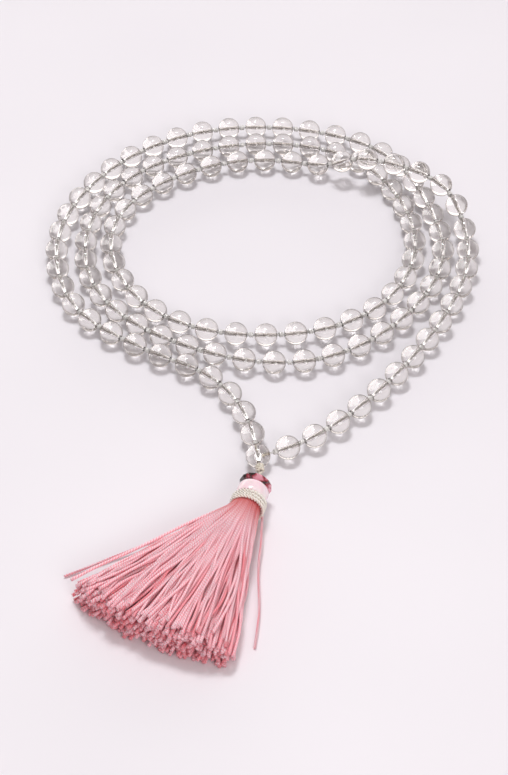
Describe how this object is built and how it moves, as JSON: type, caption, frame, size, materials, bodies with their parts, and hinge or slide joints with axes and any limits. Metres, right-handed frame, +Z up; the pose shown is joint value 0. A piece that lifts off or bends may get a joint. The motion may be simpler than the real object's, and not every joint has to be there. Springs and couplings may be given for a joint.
{
  "type": "mala prayer beads",
  "caption": "String of round clear crystal prayer beads knotted one by one on a cord, wound in a flat coil, with a guru bead and a thread tassel.",
  "frame": {"origin": "centre of the lying mala's box, on the surface that it lies on", "axes": "+Y from the tassel towards the back of the coil, +Z up"},
  "size_m": [0.1538, 0.2636, 0.0165],
  "materials": {
    "crystal": "polished clear glass",
    "strand_cord": "shiny twisted cord",
    "cream_cord": "twisted cord",
    "garnet": "faceted, polished",
    "rose_cap": "polished, milky",
    "binding": "wound metallic cord",
    "thread": "silky two-ply thread"
  },
  "bodies": {
    "root": {"strand_cord": "strand_cord", "guru_bead": "crystal", "finishing_knot": "cream_cord", "outer_row_beads": "crystal", "middle_row_beads": "crystal", "inner_row_beads": "crystal"},
    "tassel_link": {"tassel_link": "cream_cord"},
    "tassel": {"tie_cord": "cream_cord", "tassel_cap": "rose_cap", "head_core": "thread", "neck_binding": "binding", "thread_skirt": "thread", "stray_threads": "thread"},
    "garnet_ring": {"garnet_ring": "garnet"},
    "left_bead_01": {"left_bead_01": "crystal"},
    "left_bead_02": {"left_bead_02": "crystal"},
    "left_bead_03": {"left_bead_03": "crystal"},
    "left_bead_04": {"left_bead_04": "crystal"},
    "left_bead_05": {"left_bead_05": "crystal"},
    "left_bead_06": {"left_bead_06": "crystal"},
    "left_bead_07": {"left_bead_07": "crystal"},
    "left_bead_08": {"left_bead_08": "crystal"},
    "left_bead_09": {"left_bead_09": "crystal"},
    "left_bead_10": {"left_bead_10": "crystal"},
    "left_bead_11": {"left_bead_11": "crystal"},
    "left_bead_12": {"left_bead_12": "crystal"},
    "left_bead_13": {"left_bead_13": "crystal"},
    "left_bead_14": {"left_bead_14": "crystal"},
    "left_bead_15": {"left_bead_15": "crystal"},
    "left_bead_16": {"left_bead_16": "crystal"},
    "left_bead_17": {"left_bead_17": "crystal"},
    "left_bead_18": {"left_bead_18": "crystal"},
    "left_bead_19": {"left_bead_19": "crystal"},
    "left_bead_20": {"left_bead_20": "crystal"},
    "right_bead_01": {"right_bead_01": "crystal"},
    "right_bead_02": {"right_bead_02": "crystal"},
    "right_bead_03": {"right_bead_03": "crystal"},
    "right_bead_04": {"right_bead_04": "crystal"},
    "right_bead_05": {"right_bead_05": "crystal"},
    "right_bead_06": {"right_bead_06": "crystal"},
    "right_bead_07": {"right_bead_07": "crystal"},
    "right_bead_08": {"right_bead_08": "crystal"},
    "right_bead_09": {"right_bead_09": "crystal"},
    "right_bead_10": {"right_bead_10": "crystal"},
    "right_bead_11": {"right_bead_11": "crystal"},
    "right_bead_12": {"right_bead_12": "crystal"},
    "right_bead_13": {"right_bead_13": "crystal"},
    "right_bead_14": {"right_bead_14": "crystal"},
    "right_bead_15": {"right_bead_15": "crystal"},
    "right_bead_16": {"right_bead_16": "crystal"},
    "right_bead_17": {"right_bead_17": "crystal"},
    "right_bead_18": {"right_bead_18": "crystal"},
    "right_bead_19": {"right_bead_19": "crystal"},
    "right_bead_20": {"right_bead_20": "crystal"}
  },
  "joints": [
    {"name": "tassel_swing", "type": "hinge", "parent": "root", "child": "tassel_link", "pos_m": [-0.00082, -0.05764, 0.00428], "axis": [0, 0, 1], "range_deg": [-60, 60]},
    {"name": "tassel_lift", "type": "hinge", "parent": "tassel_link", "child": "tassel", "pos_m": [-0.00138, -0.05957, 0.00518], "axis": [-0.9613, 0.2756, 0], "range_deg": [0, 90]},
    {"name": "ring_spin", "type": "hinge", "parent": "tassel", "child": "garnet_ring", "pos_m": [-0.00209, -0.06206, 0.00633], "axis": [-0.2756, -0.9613, 0], "continuous": true},
    {"name": "left_bead_01_spin", "type": "hinge", "parent": "root", "child": "left_bead_01", "pos_m": [-0.00341, -0.03804, 0.00428], "axis": [-0.2028, 0.9792, 0], "continuous": true},
    {"name": "left_bead_02_spin", "type": "hinge", "parent": "root", "child": "left_bead_02", "pos_m": [-0.00627, -0.02825, 0.00428], "axis": [-0.3571, 0.9341, 0], "continuous": true},
    {"name": "left_bead_03_spin", "type": "hinge", "parent": "root", "child": "left_bead_03", "pos_m": [-0.01088, -0.01918, 0.00428], "axis": [-0.5432, 0.8396, 0], "continuous": true},
    {"name": "left_bead_04_spin", "type": "hinge", "parent": "root", "child": "left_bead_04", "pos_m": [-0.01732, -0.01132, 0.00428], "axis": [-0.717, 0.6971, 0], "continuous": true},
    {"name": "left_bead_05_spin", "type": "hinge", "parent": "root", "child": "left_bead_05", "pos_m": [-0.0255, -0.00535, 0.00428], "axis": [-0.8821, 0.4711, 0], "continuous": true},
    {"name": "left_bead_06_spin", "type": "hinge", "parent": "root", "child": "left_bead_06", "pos_m": [-0.03449, -0.00047, 0.00428], "axis": [-0.876, 0.4823, 0], "continuous": true},
    {"name": "left_bead_07_spin", "type": "hinge", "parent": "root", "child": "left_bead_07", "pos_m": [-0.04317, 0.00491, 0.00428], "axis": [-0.8217, 0.5699, 0], "continuous": true},
    {"name": "left_bead_08_spin", "type": "hinge", "parent": "root", "child": "left_bead_08", "pos_m": [-0.05151, 0.01083, 0.00428], "axis": [-0.8091, 0.5877, 0], "continuous": true},
    {"name": "left_bead_09_spin", "type": "hinge", "parent": "root", "child": "left_bead_09", "pos_m": [-0.05916, 0.01756, 0.00428], "axis": [-0.6854, 0.7282, 0], "continuous": true},
    {"name": "left_bead_10_spin", "type": "hinge", "parent": "root", "child": "left_bead_10", "pos_m": [-0.06522, 0.02571, 0.00428], "axis": [-0.5011, 0.8654, 0], "continuous": true},
    {"name": "left_bead_11_spin", "type": "hinge", "parent": "root", "child": "left_bead_11", "pos_m": [-0.0694, 0.03499, 0.00428], "axis": [-0.3161, 0.9487, 0], "continuous": true},
    {"name": "left_bead_12_spin", "type": "hinge", "parent": "root", "child": "left_bead_12", "pos_m": [-0.07188, 0.04488, 0.00428], "axis": [-0.1684, 0.9857, 0], "continuous": true},
    {"name": "left_bead_13_spin", "type": "hinge", "parent": "root", "child": "left_bead_13", "pos_m": [-0.07289, 0.05504, 0.00428], "axis": [-0.0287, 0.9996, 0], "continuous": true},
    {"name": "left_bead_14_spin", "type": "hinge", "parent": "root", "child": "left_bead_14", "pos_m": [-0.0723, 0.06521, 0.00428], "axis": [0.1439, 0.9896, 0], "continuous": true},
    {"name": "left_bead_15_spin", "type": "hinge", "parent": "root", "child": "left_bead_15", "pos_m": [-0.07006, 0.07516, 0.00428], "axis": [0.294, 0.9558, 0], "continuous": true},
    {"name": "left_bead_16_spin", "type": "hinge", "parent": "root", "child": "left_bead_16", "pos_m": [-0.06641, 0.08469, 0.00428], "axis": [0.4193, 0.9079, 0], "continuous": true},
    {"name": "left_bead_17_spin", "type": "hinge", "parent": "root", "child": "left_bead_17", "pos_m": [-0.06157, 0.09367, 0.00428], "axis": [0.5284, 0.849, 0], "continuous": true},
    {"name": "left_bead_18_spin", "type": "hinge", "parent": "root", "child": "left_bead_18", "pos_m": [-0.05564, 0.10198, 0.00428], "axis": [0.6309, 0.7758, 0], "continuous": true},
    {"name": "left_bead_19_spin", "type": "hinge", "parent": "root", "child": "left_bead_19", "pos_m": [-0.04867, 0.10944, 0.00428], "axis": [0.7303, 0.6831, 0], "continuous": true},
    {"name": "left_bead_20_spin", "type": "hinge", "parent": "root", "child": "left_bead_20", "pos_m": [-0.04073, 0.11584, 0.00428], "axis": [0.8228, 0.5683, 0], "continuous": true},
    {"name": "right_bead_01_spin", "type": "hinge", "parent": "root", "child": "right_bead_01", "pos_m": [0.00796, -0.04446, 0.00428], "axis": [-0.9, -0.4358, 0], "continuous": true},
    {"name": "right_bead_02_spin", "type": "hinge", "parent": "root", "child": "right_bead_02", "pos_m": [0.01665, -0.03917, 0.00428], "axis": [-0.8, -0.6, 0], "continuous": true},
    {"name": "right_bead_03_spin", "type": "hinge", "parent": "root", "child": "right_bead_03", "pos_m": [0.02448, -0.0326, 0.00428], "axis": [-0.7297, -0.6838, 0], "continuous": true},
    {"name": "right_bead_04_spin", "type": "hinge", "parent": "root", "child": "right_bead_04", "pos_m": [0.03166, -0.02534, 0.00428], "axis": [-0.676, -0.7369, 0], "continuous": true},
    {"name": "right_bead_05_spin", "type": "hinge", "parent": "root", "child": "right_bead_05", "pos_m": [0.03835, -0.0176, 0.00428], "axis": [-0.631, -0.7757, 0], "continuous": true},
    {"name": "right_bead_06_spin", "type": "hinge", "parent": "root", "child": "right_bead_06", "pos_m": [0.0446, -0.0095, 0.00428], "axis": [-0.5904, -0.8071, 0], "continuous": true},
    {"name": "right_bead_07_spin", "type": "hinge", "parent": "root", "child": "right_bead_07", "pos_m": [0.05043, -0.00111, 0.00428], "axis": [-0.5508, -0.8346, 0], "continuous": true},
    {"name": "right_bead_08_spin", "type": "hinge", "parent": "root", "child": "right_bead_08", "pos_m": [0.05585, 0.00756, 0.00428], "axis": [-0.5094, -0.8605, 0], "continuous": true},
    {"name": "right_bead_09_spin", "type": "hinge", "parent": "root", "child": "right_bead_09", "pos_m": [0.06083, 0.0165, 0.00428], "axis": [-0.4629, -0.8864, 0], "continuous": true},
    {"name": "right_bead_10_spin", "type": "hinge", "parent": "root", "child": "right_bead_10", "pos_m": [0.06527, 0.0257, 0.00428], "axis": [-0.4059, -0.9139, 0], "continuous": true},
    {"name": "right_bead_11_spin", "type": "hinge", "parent": "root", "child": "right_bead_11", "pos_m": [0.06902, 0.03521, 0.00428], "axis": [-0.328, -0.9447, 0], "continuous": true},
    {"name": "right_bead_12_spin", "type": "hinge", "parent": "root", "child": "right_bead_12", "pos_m": [0.07174, 0.04505, 0.00428], "axis": [-0.204, -0.979, 0], "continuous": true},
    {"name": "right_bead_13_spin", "type": "hinge", "parent": "root", "child": "right_bead_13", "pos_m": [0.07289, 0.05517, 0.00428], "axis": [-0.0201, -0.9998, 0], "continuous": true},
    {"name": "right_bead_14_spin", "type": "hinge", "parent": "root", "child": "right_bead_14", "pos_m": [0.07233, 0.06518, 0.00557], "axis": [0.129, -0.9591, -0.2521], "continuous": true},
    {"name": "right_bead_15_spin", "type": "hinge", "parent": "root", "child": "right_bead_15", "pos_m": [0.06983, 0.07423, 0.00923], "axis": [0.3609, -0.8092, -0.4636], "continuous": true},
    {"name": "right_bead_16_spin", "type": "hinge", "parent": "root", "child": "right_bead_16", "pos_m": [0.06463, 0.08218, 0.01219], "axis": [0.6558, -0.7461, -0.1153], "continuous": true},
    {"name": "right_bead_17_spin", "type": "hinge", "parent": "root", "child": "right_bead_17", "pos_m": [0.05704, 0.08887, 0.01278], "axis": [0.8275, -0.5614, 0], "continuous": true},
    {"name": "right_bead_18_spin", "type": "hinge", "parent": "root", "child": "right_bead_18", "pos_m": [0.0481, 0.09374, 0.01278], "axis": [0.9205, -0.3906, 0], "continuous": true},
    {"name": "right_bead_19_spin", "type": "hinge", "parent": "root", "child": "right_bead_19", "pos_m": [0.0385, 0.09716, 0.0124], "axis": [0.9577, -0.2781, 0.0741], "continuous": true},
    {"name": "right_bead_20_spin", "type": "hinge", "parent": "root", "child": "right_bead_20", "pos_m": [0.02948, 0.0999, 0.00929], "axis": [0.8046, -0.2588, 0.5345], "continuous": true}
  ]
}
